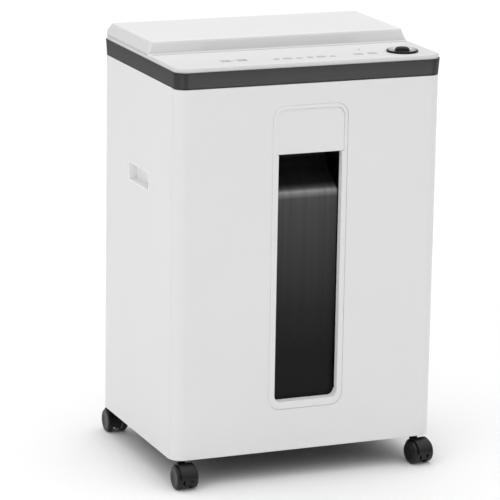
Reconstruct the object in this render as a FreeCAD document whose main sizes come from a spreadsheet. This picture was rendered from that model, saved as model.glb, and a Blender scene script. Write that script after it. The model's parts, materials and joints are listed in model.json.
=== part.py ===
import FreeCAD, Part
import math
import os
import re
import Sketcher

# Paper shredder with a pull-out bin drawer.
# Frame: X to the right seen from the front, the front faces -Y, Z up.
# Origin on the floor, at the centre of the footprint.

doc = FreeCAD.newDocument("PaperShredder")
dims = doc.addObject("Spreadsheet::Sheet", "dims")

rows = [
    ("body_width", 390),
    ("body_depth", 293.3),
    ("corner_radius", 17),
    ("wall", 3),
    ("base_bottom", 40),
    ("base_thick", 3),
    ("shell_top", 558.5),
    ("band_top", 581),
    ("band_flare", 1.3),
    ("strip_top", 587),
    ("cover_top", 603.5),
    ("lip_edge", 2.6),
    ("edge_soft", 0.8),
    ("groove_deep", 1.8),
    ("ridge_wide", 3.6),
    ("ridge_high", 1.6),
    ("slope_foot", 28.5),
    ("slope_head", 26),
    ("cover_half_top", 187.5),
    ("cover_back_top", 133),
    ("seam_front", 128.9),
    ("drawer_gap", 0.5),
    ("slot_half", 115),
    ("slot_front", 37.6),
    ("slot_back", 31.6),
    ("frame_half", 55.5),
    ("frame_bottom", 100),
    ("frame_top", 528.7),
    ("frame_radius", 18),
    ("frame_bead", 5.5),
    ("frame_proud", 0.9),
    ("jamb_half", 47),
    ("window_bottom", 111.5),
    ("handle_bottom", 461),
    ("handle_top", 523),
    ("window_back", 134.7),
    ("window_corner", 9.5),
    ("window_gap", 3),
    ("handle_gap", 0.4),
    ("moulding_wall", 2.5),
    ("grip_half", 41),
    ("grip_bottom", 398),
    ("grip_top", 425),
    ("grip_deep", 12),
    ("bin_half", 172),
    ("bin_front", 127),
    ("bin_back", 124),
    ("bin_bottom", 52),
    ("bin_top", 396),
    ("button_x", 150.5),
    ("button_y", 110),
    ("button_radius", 10.2),
    ("button_travel", 2.5),
    ("deck_bottom", 425),
    ("deck_top", 430),
    ("deck_front", 82),
    ("head_height", 500),
    ("cutter_front", 49),
    ("cutter_rear", 15),
    ("cutter_radius", 19),
    ("core_radius", 14.2),
    ("disc_thick", 4.4),
    ("disc_pitch", 9.6),
    ("disc_count", 24),
    ("frame_inner", 122),
    ("frame_plate", 3),
    ("plate_inner", 160),
    ("journal_radius", 8),
    ("compound_y", 37.7),
    ("motor_y", 79.9),
    ("motor_radius", 42),
    ("rotor_radius", 24),
    ("fit", 0.05),
    ("castor_x", 176.6),
    ("castor_y", 128),
    ("castor_trail", 14),
    ("castor_turn", 9),
    ("wheel_radius", 16.5),
    ("wheel_thick", 9.1),
    ("wheel_gap", 13),
    ("stem_radius", 5),
    ("hood_radius", 19.2),
    ("hood_half", 11),
]

for number, (alias, amount) in enumerate(rows, start=1):
    dims.set("A%d" % number, alias)
    dims.set("B%d" % number, str(amount))
    dims.setAlias("B%d" % number, alias)
doc.recompute()

names = sorted([alias for alias, amount in rows], key=len, reverse=True)
pattern = re.compile(r"\b(" + "|".join(names) + r")\b")
pieces = []


def formula(text):
    """The text with every dimension pointing at its cell in the sheet."""
    return pattern.sub(r"dims.\1", str(text))


def number(text):
    """The present value of a formula."""
    return float(dims.evalExpression(formula(text)))


def keep(shape_object, label):
    """Register a finished sub-part under its node name."""
    shape_object.Label = label
    pieces.append(shape_object)
    return shape_object


def move(item, x, y, z):
    item.setExpression("Placement.Base.x", formula(x))
    item.setExpression("Placement.Base.y", formula(y))
    item.setExpression("Placement.Base.z", formula(z))


def box(name, x, y, z):
    """A box from three (low, high) pairs of formulas."""
    item = doc.addObject("Part::Box", name)
    item.setExpression("Length", formula("(%s) - (%s)" % (x[1], x[0])))
    item.setExpression("Width", formula("(%s) - (%s)" % (y[1], y[0])))
    item.setExpression("Height", formula("(%s) - (%s)" % (z[1], z[0])))
    move(item, x[0], y[0], z[0])
    return item


turns = {
    "x": FreeCAD.Rotation(FreeCAD.Vector(0, 1, 0), 90),
    "y": FreeCAD.Rotation(FreeCAD.Vector(1, 0, 0), -90),
    "z": FreeCAD.Rotation(),
}


def cylinder(name, start, axis, radius, length):
    """A cylinder from its start point along +X, +Y or +Z."""
    item = doc.addObject("Part::Cylinder", name)
    item.setExpression("Radius", formula(radius))
    item.setExpression("Height", formula(length))
    item.Placement = FreeCAD.Placement(FreeCAD.Vector(), turns[axis])
    move(item, start[0], start[1], start[2])
    return item


def cut(name, base, tools):
    tool = tools[0]
    if len(tools) > 1:
        tool = fuse(name + "_tools", tools)
    item = doc.addObject("Part::Cut", name)
    item.Base = base
    item.Tool = tool
    return item


def fuse(name, shapes):
    item = doc.addObject("Part::MultiFuse", name)
    item.Shapes = shapes
    return item


def group(name, shapes):
    """Separate solids that share one node."""
    item = doc.addObject("Part::Compound", name)
    item.Links = shapes
    return item


def common(name, base, tool):
    item = doc.addObject("Part::Common", name)
    item.Base = base
    item.Tool = tool
    return item


def along(edge, direction):
    """Whether a straight edge runs along the direction."""
    ends = edge.Vertexes
    if len(ends) < 2:
        return False
    line = ends[1].Point - ends[0].Point
    if line.Length < 1e-6:
        return False
    if edge.Curve.TypeId != "Part::GeomLine":
        return False
    line.normalize()
    return abs(abs(line.dot(direction)) - 1) < 1e-4


def soften(name, base, radius, choose):
    """Round the chosen edges of a shape."""
    doc.recompute()
    size = number(radius)
    edges = []
    for place, edge in enumerate(base.Shape.Edges, start=1):
        if choose(edge):
            edges.append((place, size, size))
    item = doc.addObject("Part::Fillet", name)
    item.Base = base
    item.Edges = edges
    doc.recompute()
    return item


def upright(edge):
    return along(edge, FreeCAD.Vector(0, 0, 1))


def body_plane(body, role):
    for feature in body.Origin.OriginFeatures:
        if feature.Role == role:
            return feature
    raise ValueError(role)


def new_body(name):
    return doc.addObject("PartDesign::Body", name)


def outline(body, name, role, points, offset="0"):
    """A closed sketch of straight lines; each corner is held by two dimensions."""
    sketch = body.newObject("Sketcher::SketchObject", name)
    sketch.AttachmentSupport = [(body_plane(body, role), "")]
    sketch.MapMode = "FlatFace"
    sketch.setExpression("AttachmentOffset.Base.z", formula(offset))
    values = [(number(x), number(y)) for x, y in points]
    count = len(points)
    for place in range(count):
        start = values[place]
        end = values[(place + 1) % count]
        first = FreeCAD.Vector(start[0], start[1], 0)
        last = FreeCAD.Vector(end[0], end[1], 0)
        sketch.addGeometry(Part.LineSegment(first, last), False)
    for place in range(count):
        after = (place + 1) % count
        sketch.addConstraint(Sketcher.Constraint("Coincident", place, 2, after, 1))
    for place, (x, y) in enumerate(points):
        across = Sketcher.Constraint("DistanceX", -1, 1, place, 1, values[place][0])
        index = sketch.addConstraint(across)
        sketch.setExpression("Constraints[%d]" % index, formula(x))
        upward = Sketcher.Constraint("DistanceY", -1, 1, place, 1, values[place][1])
        index = sketch.addConstraint(upward)
        sketch.setExpression("Constraints[%d]" % index, formula(y))
    return sketch


def rectangle(x, y):
    return [(x[0], y[0]), (x[1], y[0]), (x[1], y[1]), (x[0], y[1])]


def pad(body, sketch, length, side="One side"):
    item = body.newObject("PartDesign::Pad", sketch.Name + "_pad")
    item.Profile = sketch
    item.setExpression("Length", formula(length))
    item.SideType = side
    doc.recompute()
    return item


def pocket(body, sketch, length, side="Symmetric"):
    before = body.Shape.Volume
    item = body.newObject("PartDesign::Pocket", sketch.Name + "_cut")
    item.Profile = sketch
    item.setExpression("Length", formula(length))
    item.SideType = side
    doc.recompute()
    if not body.Shape.Volume < before - 1e-6:
        raise ValueError(sketch.Name + " cuts nothing")
    return item


def revolve(body, sketch, axis):
    item = body.newObject("PartDesign::Revolution", sketch.Name + "_turn")
    item.Profile = sketch
    item.ReferenceAxis = (sketch, [axis])
    item.Angle = 360
    doc.recompute()
    return item


def round_edges(body, radius, choose):
    """A PartDesign fillet on the chosen edges of the body's tip."""
    doc.recompute()
    tip = body.Tip
    chosen = []
    for place, edge in enumerate(tip.Shape.Edges, start=1):
        if choose(edge):
            chosen.append("Edge%d" % place)
    if not chosen:
        raise ValueError("no edges to round on " + body.Name)
    item = body.newObject("PartDesign::Fillet", body.Name + "_round")
    item.Base = (tip, chosen)
    item.setExpression("Radius", formula(radius))
    doc.recompute()
    return item


def turned(name, role, points, axis):
    """A body made by turning one profile."""
    body = new_body(name)
    sketch = outline(body, name + "_profile", role, points)
    revolve(body, sketch, axis)
    return body


def ring(name, start, axis, outer, inner, length):
    """A plain bush or ring."""
    blank = cylinder(name + "_blank", start, axis, outer, length)
    hole = cylinder(name + "_bore", start, axis, inner, length)
    return cut(name + "_ring", blank, [hole])


# ---------------------------------------------------------------- cabinet

half = "body_width/2"
deep = "body_depth/2"
shell_low = "base_bottom"

# Two sides and the back, folded from one sheet of plastic.
shell = new_body("cabinet")
wrap = [
    ("-" + half, "-seam_front"),
    ("-" + half + " + wall", "-seam_front"),
    ("-" + half + " + wall", deep + " - wall"),
    (half + " - wall", deep + " - wall"),
    (half + " - wall", "-seam_front"),
    (half, "-seam_front"),
    (half, deep),
    ("-" + half, deep),
]
shell_sketch = outline(shell, "wrap", "XY_Plane", wrap, shell_low)
pad(shell, shell_sketch, "shell_top - base_bottom")


def back_outer(edge):
    return upright(edge) and edge.Vertexes[0].Point.y > number(deep) - 0.1


def back_inner(edge):
    height = edge.Vertexes[0].Point.y
    return upright(edge) and abs(height - number(deep + " - wall")) < 0.1


round_edges(shell, "corner_radius", back_outer)
round_edges(shell, "corner_radius - wall", back_inner)
grip = rectangle(("-grip_half", "grip_half"), ("grip_bottom", "grip_top"))
grip_sketch = outline(shell, "grip", "YZ_Plane", grip)
pocket(shell, grip_sketch, "body_width + 10")

# Cooling slots in the back, beside the motor.
back_tools = []
for row in range(12):
    low = 438 + 8 * row
    name = "vent_%d" % row
    back_tools.append(box(name, ("10", "110"), ("body_depth/2 - 5", "body_depth/2 + 5"), (low, low + 4)))
inlet_hole = box("inlet_hole", ("-124", "-96"), ("body_depth/2 - 5", "body_depth/2 + 5"), ("460", "480"))
rocker_hole = box("rocker_hole", ("-70.5", "-57.5"), ("body_depth/2 - 5", "body_depth/2 + 5"), ("460", "480"))
back_tools.append(inlet_hole)
back_tools.append(rocker_hole)
keep(cut("cabinet_cut", shell, back_tools), "cabinet_shell")

# Carry grips: shallow cups behind the openings in both sides.
for side, sign in (("left", -1), ("right", 1)):
    near = "%d * (body_width/2 - 0.0)" % sign
    far = "%d * (body_width/2 - grip_deep - 2)" % sign
    floor_x = "%d * (body_width/2 - grip_deep)" % sign
    flange_x = "%d * (body_width/2 - wall)" % sign
    edge_x = "%d * (body_width/2 - wall - 2)" % sign
    outer_span = (far, near) if sign > 0 else (near, far)
    inner_span = (floor_x, near + " + 1") if sign > 0 else (near + " - 1", floor_x)
    flange_span = (edge_x, flange_x) if sign > 0 else (flange_x, edge_x)
    cup = box("cup_" + side, outer_span, ("-grip_half", "grip_half"), ("grip_bottom", "grip_top"))
    flange = box(
        "flange_" + side,
        flange_span,
        ("-grip_half - 5", "grip_half + 5"),
        ("grip_bottom - 5", "grip_top + 5"),
    )
    hollow = box(
        "hollow_" + side,
        inner_span,
        ("-grip_half + 1.5", "grip_half - 1.5"),
        ("grip_bottom + 1.5", "grip_top - 1.5"),
    )
    whole = fuse("cup_whole_" + side, [cup, flange])
    keep(cut("cup_cut_" + side, whole, [hollow]), "grip_cup_" + side)

# Floor of the cabinet, let in between the walls, with a boss over each castor stem.
base = new_body("base")
floor_side = half + " - wall - 0.4"
floor_plan = rectangle(("-(%s)" % floor_side, floor_side), ("-" + deep + " + wall + 0.5", deep + " - wall"))
base_sketch = outline(base, "floor", "XY_Plane", floor_plan, "base_bottom")
pad(base, base_sketch, "base_thick")
round_edges(base, "corner_radius - wall", upright)
corners = [("fl", -1, -1), ("fr", 1, -1), ("rl", -1, 1), ("rr", 1, 1)]
bosses = [base]
holes = []
for tag, sx, sy in corners:
    x = "%d * castor_x" % sx
    y = "%d * castor_y" % sy
    bosses.append(cylinder("boss_" + tag, (x, y, "base_bottom"), "z", "stem_radius + 3", "7"))
    holes.append(cylinder("stem_hole_" + tag, (x, y, "base_bottom - 1"), "z", "stem_radius + fit", "7"))
base_whole = fuse("base_whole", bosses)
keep(cut("base_cut", base_whole, holes), "base_plate")

# Rails under the bin.
rails = []
for sign in (-1, 1):
    inner = "%d * 150" % sign
    outer = "%d * 158" % sign
    span = (inner, outer) if sign > 0 else (outer, inner)
    name = "rail_%d" % (sign + 1)
    rails.append(box(name, span, ("-120", "135"), ("base_bottom + base_thick", "bin_bottom - 0.3")))
keep(group("rails", rails), "slide_rails")

# ---------------------------------------------------------------- dark band

band = new_body("band")
band_sketch = outline(
    band,
    "band_outer",
    "XY_Plane",
    rectangle(("-" + half, half), ("-" + deep, deep)),
    "shell_top",
)
band_pad = pad(band, band_sketch, "band_top - shell_top")
band_pad.setExpression("TaperAngle", formula("atan(band_flare / (band_top - shell_top))"))
doc.recompute()


def band_corner(edge):
    first = edge.Vertexes[0].Point
    last = edge.Vertexes[-1].Point
    return abs(first.z - last.z) > 10


round_edges(band, "corner_radius", band_corner)
band_inner = outline(
    band,
    "band_inner",
    "XY_Plane",
    rectangle(("-" + half + " + 6", half + " - 6"), ("-" + deep + " + 6", deep + " - 6")),
    "(shell_top + band_top) / 2",
)
pocket(band, band_inner, "60")
keep(band, "trim_band")

# ---------------------------------------------------------------- top cover

lip = box("lip", ("-" + half, half), ("-" + deep, deep), ("band_top", "strip_top"))
lip_plan = soften("lip_plan", lip, "corner_radius", upright)


def lip_rim(edge):
    """The upper edge of the lip, all the way round."""
    return min(vertex.Point.z for vertex in edge.Vertexes) > number("strip_top") - 0.1


lip_round = soften("lip_round", lip_plan, "lip_edge", lip_rim)
prism = box("prism", ("-" + half, half), ("-" + deep, deep), ("band_top", "cover_top + 5"))
prism_round = soften("prism_round", prism, "corner_radius", upright)


def wedge(name, inset, low, high):
    """The raised rear part: a block whose four sides lean inwards."""
    item = doc.addObject("Part::Wedge", name)
    item.setExpression("Ymin", formula("0"))
    item.setExpression("Ymax", formula("(%s) - (%s)" % (high, low)))
    item.setExpression("Xmin", formula("-body_width/2 + (%s)" % inset))
    item.setExpression("Xmax", formula("body_width/2 - (%s)" % inset))
    item.setExpression("X2min", formula("-cover_half_top + (%s)" % inset))
    item.setExpression("X2max", formula("cover_half_top - (%s)" % inset))
    item.setExpression("Zmin", formula("-body_depth/2 + (%s)" % inset))
    item.setExpression("Zmax", formula("slope_foot - (%s)" % inset))
    item.setExpression("Z2min", formula("-cover_back_top + (%s)" % inset))
    item.setExpression("Z2max", formula("slope_head - (%s)" % inset))
    item.Placement = FreeCAD.Placement(FreeCAD.Vector(), turns["y"].inverted())
    move(item, "0", "0", low)
    return item


raised = wedge("raised", "0", "strip_top - 0.01", "cover_top")


def leaning(edge):
    """The ridges round the raised top and its slanted corners."""
    return max(vertex.Point.z for vertex in edge.Vertexes) > number("cover_top") - 0.1


raised_soft = soften("raised_soft", raised, "3.5", leaning)
raised_round = common("raised_round", raised_soft, prism_round)
cover_soft = fuse("cover_soft", [lip_round, raised_round])
void_low = box(
    "void_low",
    ("-" + half + " + 4", half + " - 4"),
    ("-" + deep + " + 4", deep + " - 4"),
    ("band_top - 1", "strip_top - 3"),
)
void_soft = soften("void_soft", void_low, "corner_radius - 4", upright)
void_high = wedge("void_high", "4", "strip_top - 3.1", "cover_top - 4")
slot = box("slot", ("-slot_half", "slot_half"), ("-slot_front", "-slot_back"), ("band_top", "strip_top + 2"))
button_well = cylinder("button_well", ("button_x", "-button_y", "band_top"), "z", "22", "10")
void_round = common("void_round", void_high, prism_round)
# A low ridge runs along the foot of the slope; the groove behind it deepens into the paper slot.
ridge = box(
    "ridge",
    ("-" + half + " + 5", half + " - 5"),
    ("-slot_front - ridge_wide", "-slot_front"),
    ("strip_top - 1", "strip_top + ridge_high"),
)


def ridge_top(edge):
    """The long upper edges and the upright ends of the ridge."""
    levels = [vertex.Point.z for vertex in edge.Vertexes]
    crest = min(levels) > number("strip_top + ridge_high") - 0.01
    return crest and along(edge, FreeCAD.Vector(1, 0, 0))


ridge_soft = soften("ridge_soft", ridge, "1.3", ridge_top)
cover_ridged = fuse("cover_ridged", [cover_soft, ridge_soft])
groove = box(
    "groove",
    ("-" + half + " + 6", half + " - 6"),
    ("-slot_front", "-slot_back"),
    ("strip_top - groove_deep", "strip_top + 0.4"),
)
cover = cut("cover", cover_ridged, [void_soft, void_round, slot, groove, button_well])
keep(cover, "top_cover")

# ---------------------------------------------------------------- button

bezel_profile = [
    ("11.2", "-7"),
    ("13", "-7"),
    ("13", "-3"),
    ("22", "-3"),
    ("22", "2.1"),
    ("21.1", "2.9"),
    ("20.2", "2.9"),
    ("20.2", "-0.5"),
    ("11.2", "-0.5"),
]
bezel = turned("bezel", "XZ_Plane", bezel_profile, "V_Axis")
move(bezel, "button_x", "-button_y", "strip_top")
keep(bezel, "button_bezel")

ring_profile = [
    ("11.2", "-0.5"),
    ("20.2", "-0.5"),
    ("20.2", "2.9"),
    ("19.4", "2.9"),
    ("16.5", "2.0"),
    ("13.5", "1.3"),
    ("11.2", "1.1"),
]
dish = turned("dish", "XZ_Plane", ring_profile, "V_Axis")
move(dish, "button_x", "-button_y", "strip_top")
keep(dish, "button_ring")

cap_profile = [
    ("0", "-10"),
    ("6", "-10"),
    ("6", "-3.5"),
    ("button_radius", "-3.5"),
    ("button_radius", "3.2"),
    ("9.3", "4.7"),
    ("7.4", "5.9"),
    ("4.4", "6.8"),
    ("0", "7.2"),
]
cap = turned("cap", "XZ_Plane", cap_profile, "V_Axis")
move(cap, "button_x", "-button_y", "strip_top")
keep(cap, "power_button")

# Small board with the switch under the button, hung from the cover.
board_top = "strip_top - 10 - button_travel - 0.6"
panel_board = box(
    "panel_board",
    ("button_x - 26", "button_x + 20"),
    ("-button_y - 20", "-button_y + 20"),
    (board_top + " - 4.6", board_top + " - 3"),
)
switch_can = box(
    "switch_can",
    ("button_x - 4", "button_x + 4"),
    ("-button_y - 4", "-button_y + 4"),
    (board_top + " - 3", board_top),
)
posts = []
for sx in (-1, 1):
    for sy in (-1, 1):
        place = ("button_x + %d" % (17 * sx), "-button_y + %d" % (16 * sy), board_top + " - 3")
        name = "post_%d_%d" % (sx + 1, sy + 1)
        posts.append(cylinder(name, place, "z", "2.5", "3 + 0.6 + button_travel + 7"))
keep(group("panel_parts", [panel_board, switch_can] + posts), "button_board")

# ---------------------------------------------------------------- bin drawer

front = new_body("drawer")
drawer_low = "base_bottom + drawer_gap"
drawer_high = "shell_top - drawer_gap"
skin = [
    ("-" + half, "-seam_front - drawer_gap"),
    ("-" + half, "-" + deep),
    (half, "-" + deep),
    (half, "-seam_front - drawer_gap"),
    (half + " - wall", "-seam_front - drawer_gap"),
    (half + " - wall", "-" + deep + " + wall"),
    ("-" + half + " + wall", "-" + deep + " + wall"),
    ("-" + half + " + wall", "-seam_front - drawer_gap"),
]
skin_sketch = outline(front, "skin", "XY_Plane", skin, drawer_low)
pad(front, skin_sketch, "(%s) - (%s)" % (drawer_high, drawer_low))


def front_outer(edge):
    return upright(edge) and edge.Vertexes[0].Point.y < number("-" + deep) + 0.1


def front_inner(edge):
    place = edge.Vertexes[0].Point.y
    return upright(edge) and abs(place - number("-" + deep + " + wall")) < 0.1


round_edges(front, "corner_radius", front_outer)
round_edges(front, "corner_radius - wall", front_inner)
hole = box(
    "front_hole",
    ("-frame_half", "frame_half"),
    ("-" + deep + " - 5", "-" + deep + " + 10"),
    ("frame_bottom", "frame_top"),
)


def across(edge):
    return along(edge, FreeCAD.Vector(0, 1, 0))


hole_round = soften("front_hole_round", hole, "frame_radius", across)


def outer_rim(edge):
    """The long outer edges at the top and the foot of a wrapped wall."""
    levels = [vertex.Point.z for vertex in edge.Vertexes]
    low = number(drawer_low)
    high = number(drawer_high)
    flat_low = max(levels) < low + 0.01
    flat_high = min(levels) > high - 0.01
    if not (flat_low or flat_high):
        return False
    middle = edge.valueAt((edge.FirstParameter + edge.LastParameter) / 2)
    return abs(middle.y) > number(deep) - 5.2 and middle.y < number("-" + deep) + 5.2 and outside(middle)


def outside(point):
    """Whether a point of the front's rim lies on its outer face."""
    flat = abs(point.y + number(deep)) < 0.01
    side = abs(abs(point.x) - number(half)) < 0.01
    centre_x = number(half) - number("corner_radius")
    centre_y = -number(deep) + number("corner_radius")
    round_gap = math.hypot(abs(point.x) - centre_x, point.y - centre_y)
    corner = abs(round_gap - number("corner_radius")) < 0.01
    return flat or side or corner


front_soft = soften("drawer_soft", front, "edge_soft", outer_rim)
keep(cut("drawer_cut", front_soft, [hole_round]), "drawer_front")

# Raised bead round the window and the handle, with jambs back to the window.
bead = box(
    "bead",
    ("-frame_half", "frame_half"),
    ("-" + deep + " - frame_proud", "-" + deep + " + wall"),
    ("frame_bottom", "frame_top"),
)
bead_round = soften("bead_round", bead, "frame_radius", across)


def bead_front(edge):
    """The edges of the front face."""
    for vertex in edge.Vertexes:
        if vertex.Point.y > number("-" + deep + " - frame_proud") + 0.01:
            return False
    return True


bead_soft = soften("bead_soft", bead_round, "2.4", bead_front)
bead_window = box(
    "bead_window",
    ("-jamb_half", "jamb_half"),
    ("-" + deep + " - 5", "-" + deep + " + 10"),
    ("window_bottom", "handle_bottom"),
)


def low_across(edge):
    return across(edge) and edge.Vertexes[0].Point.z < number("window_bottom") + 1


bead_window_round = soften("bead_window_round", bead_window, "window_corner", low_across)
bead_handle = box(
    "bead_handle",
    ("-frame_half + frame_bead", "frame_half - frame_bead"),
    ("-" + deep + " - 5", "-" + deep + " + 10"),
    ("handle_bottom", "handle_top"),
)


def high_across(edge):
    return across(edge) and edge.Vertexes[0].Point.z > number("handle_top") - 1


bead_handle_round = soften("bead_handle_round", bead_handle, "12.5", high_across)
bead_cut = cut("bead_cut", bead_soft, [bead_window_round, bead_handle_round])
jamb_outer = box(
    "jamb_outer",
    ("-jamb_half - 3", "jamb_half + 3"),
    ("-" + deep + " + wall", "-window_back"),
    ("window_bottom - 3", "handle_bottom"),
)
jamb_inner = box(
    "jamb_inner",
    ("-jamb_half", "jamb_half"),
    ("-" + deep + " + wall - 1", "-window_back + 1"),
    ("window_bottom", "handle_bottom + 1"),
)
jamb_inner_round = soften("jamb_inner_round", jamb_inner, "window_corner", low_across)
slits = []
for sign in (-1, 1):
    near = "jamb_half - 0.5" if sign > 0 else "-jamb_half - 4"
    slits.append(box(
        "slit_%d" % (sign + 1),
        (near, near + " + 4.5"),
        ("-window_back - window_gap", "-window_back + 1"),
        ("window_bottom + window_corner", "handle_bottom + 1"),
    ))
jambs = cut("jambs", jamb_outer, [jamb_inner_round] + slits)
keep(fuse("frame_whole", [bead_cut, jambs]), "window_frame")

# Handle plate: the fingers go in under it and pull it from behind.
plate = box(
    "plate",
    ("-frame_half + frame_bead + handle_gap", "frame_half - frame_bead - handle_gap"),
    ("-" + deep, "-" + deep + " + 5"),
    ("handle_bottom", "handle_top - handle_gap"),
)
plate_round = soften("plate_round", plate, "12.5", high_across)


def plate_low(edge):
    ends = edge.Vertexes
    level = max(vertex.Point.z for vertex in ends)
    return level < number("handle_bottom") + 0.1 and along(edge, FreeCAD.Vector(1, 0, 0))


keep(soften("plate_soft", plate_round, "2", plate_low), "handle_plate")

# Smoked window, with the ramp and the finger recess moulded above it.
ramp = [
    ("-window_back", "window_bottom - 3"),
    ("-window_back", "404.35"),
    ("-97", "431.15"),
    ("-88.7", "449.4"),
    ("-88.2", "503"),
    ("-141.6", "503"),
    ("-141.6", "505.5"),
    ("-85.7", "505.5"),
    ("-86.2", "448.85"),
    ("-95", "429.5"),
    ("-window_back + 3", "403.4"),
    ("-window_back + 3", "window_bottom - 3"),
]
moulding = new_body("moulding")
moulding_sketch = outline(moulding, "ramp", "YZ_Plane", ramp)
pad(moulding, moulding_sketch, "2 * (jamb_half + moulding_wall)", "Symmetric")


def bend_at(y, z):
    """Choose the sideways edge that passes through one corner of the ramp."""
    def choose(edge):
        point = edge.Vertexes[0].Point
        near_y = abs(point.y - number(y)) < 0.05
        near_z = abs(point.z - number(z)) < 0.05
        return near_y and near_z and along(edge, FreeCAD.Vector(1, 0, 0))
    return choose


round_edges(moulding, "10", bend_at("-window_back", "404.35"))
round_edges(moulding, "15", bend_at("-97", "431.15"))
round_edges(moulding, "12", bend_at("-88.7", "449.4"))
round_edges(moulding, "7", bend_at("-window_back + 3", "403.4"))
cheeks = [moulding]
for sign in (-1, 1):
    lean = new_body("cheek_%d" % (sign + 1))
    cheek = [
        ("-window_back", "397"),
        ("-window_back", "handle_bottom"),
        ("-141.6", "handle_bottom"),
        ("-141.6", "503.5"),
        ("-87", "503.5"),
        ("-87", "449.2"),
        ("-96", "430.3"),
        ("-133.2", "403.7"),
        ("-133.2", "397"),
    ]
    start = "jamb_half" if sign > 0 else "-jamb_half - moulding_wall"
    cheek_sketch = outline(lean, "cheek_side_%d" % (sign + 1), "YZ_Plane", cheek, start)
    pad(lean, cheek_sketch, "moulding_wall")
    cheeks.append(lean)
keep(fuse("moulding_whole", cheeks), "window_moulding")

# Bucket for the shreds: it leans in towards its foot and has a rim.
bucket_points = rectangle(("-bin_half", "bin_half"), ("-bin_front", "bin_back"))
bucket = new_body("bucket")
bucket_sketch = outline(bucket, "bucket_plan", "XY_Plane", bucket_points, "bin_bottom")
pad(bucket, bucket_sketch, "bin_top - bin_bottom")
round_edges(bucket, "14", upright)
bucket_void = box(
    "bucket_void",
    ("-bin_half + 2.5", "bin_half - 2.5"),
    ("-bin_front + 2.5", "bin_back - 2.5"),
    ("bin_bottom + 2.5", "bin_top + 5"),
)
bucket_void_round = soften("bucket_void_round", bucket_void, "11.5", upright)
bucket_cup = cut("bucket_cup", bucket, [bucket_void_round])
lugs = [bucket_cup]
for sign in (-1, 1):
    for level in (80, 330):
        x = "%d * 120" % sign
        name = "lug_%d_%d" % (sign + 1, level)
        start = (x, "-" + deep + " + wall", level)
        lugs.append(cylinder(name, start, "y", "7", "body_depth/2 - wall - bin_front + 1"))
keep(fuse("bucket_whole", lugs), "bin_bucket")

screws = []
for sign in (-1, 1):
    for level in (80, 330):
        x = "%d * 120" % sign
        tag = "%d_%d" % (sign + 1, level)
        shank = cylinder("shank_" + tag, (x, "-bin_front + 2.5", level), "y", "2", "0.1")
        head = cylinder("head_" + tag, (x, "-bin_front + 2.5", level), "y", "3.8", "2.4")
        screws.append(fuse("drawer_screw_" + tag, [shank, head]))
keep(group("drawer_screws_all", screws), "drawer_screws")

# Magnet of the interlock, on the drawer front, and the reed switch that it closes.
keep(
    box("magnet", ("-150", "-138"), ("-" + deep + " + wall", "-" + deep + " + wall + 5"), ("515", "527")),
    "drawer_magnet",
)
reed = box("reed", ("-152", "-136"), ("-134", "-126"), ("516", "526"))
reed_arm = box("reed_arm", ("-146", "-142"), ("-126", "-deck_front + 10"), ("516", "526"))
reed_foot = box("reed_foot", ("-146", "-142"), ("-deck_front", "-deck_front + 10"), ("deck_top", "516"))
keep(fuse("reed_whole", [reed, reed_arm, reed_foot]), "reed_switch")

# ---------------------------------------------------------------- shredding head

deck = box(
    "deck_blank",
    ("-" + half + " + wall", half + " - wall"),
    ("-deck_front", deep + " - 8"),
    ("deck_bottom", "deck_top"),
)
chute = box("chute", ("-118", "118"), ("-62", "-2"), ("deck_bottom - 1", "deck_top + 1"))
deck_round = soften(
    "deck_round",
    deck,
    "14",
    lambda edge: upright(edge) and edge.Vertexes[0].Point.y > 100,
)
wells = []
for sign in (-1, 1):
    low = "%d * (body_width/2 - wall) - 16" % sign
    high = "%d * (body_width/2 - wall) + 16" % sign
    wells.append(box(
        "deck_well_%d" % (sign + 1),
        (low, high),
        ("-grip_half - 7", "grip_half + 7"),
        ("deck_bottom - 1", "deck_top + 1"),
    ))
keep(cut("deck_cut", deck_round, [chute] + wells), "head_deck")


def side_plate(label, low, high, back, bores):
    name = label.replace("side_frame", "plate")
    blank = box(name + "_blank", (low, high), ("-84", back), ("deck_top", "552"))
    tools = []
    for place, (y, radius) in enumerate(bores):
        start = ("(%s) - 1" % low, y, "head_height")
        tools.append(cylinder("%s_bore_%d" % (name, place), start, "x", radius, "frame_plate + 2"))
    for place, (y, z) in enumerate(rod_places):
        start = ("(%s) - 1" % low, y, z)
        tools.append(cylinder("%s_rod_%d" % (name, place), start, "x", "3", "frame_plate + 2"))
    return keep(cut(name + "_cut", blank, tools), label)


rod_places = [("-76", "543"), ("-76", "442"), ("18", "543"), ("18", "442")]
bush_radius = "journal_radius + 3"
cutter_bores = [("-cutter_front", bush_radius), ("-cutter_rear", bush_radius)]
side_plate("side_frame_left", "-frame_inner - frame_plate", "-frame_inner", "28", cutter_bores)
right_bores = cutter_bores + [("compound_y", "5"), ("motor_y", "9.5")]
side_plate("side_frame_right", "frame_inner", "frame_inner + frame_plate", "126", right_bores)

rods = []
for place, (y, z) in enumerate(rod_places):
    rod = cylinder("rod_%d" % place, ("-frame_inner", y, z), "x", "4.5", "2 * frame_inner")
    start = ("-frame_inner - frame_plate", y, z)
    tip = cylinder("rod_tip_%d" % place, start, "x", "3", "2 * (frame_inner + frame_plate)")
    rods.append(fuse("tie_rod_%d" % place, [rod, tip]))
keep(group("rods", rods), "tie_rods")

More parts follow.
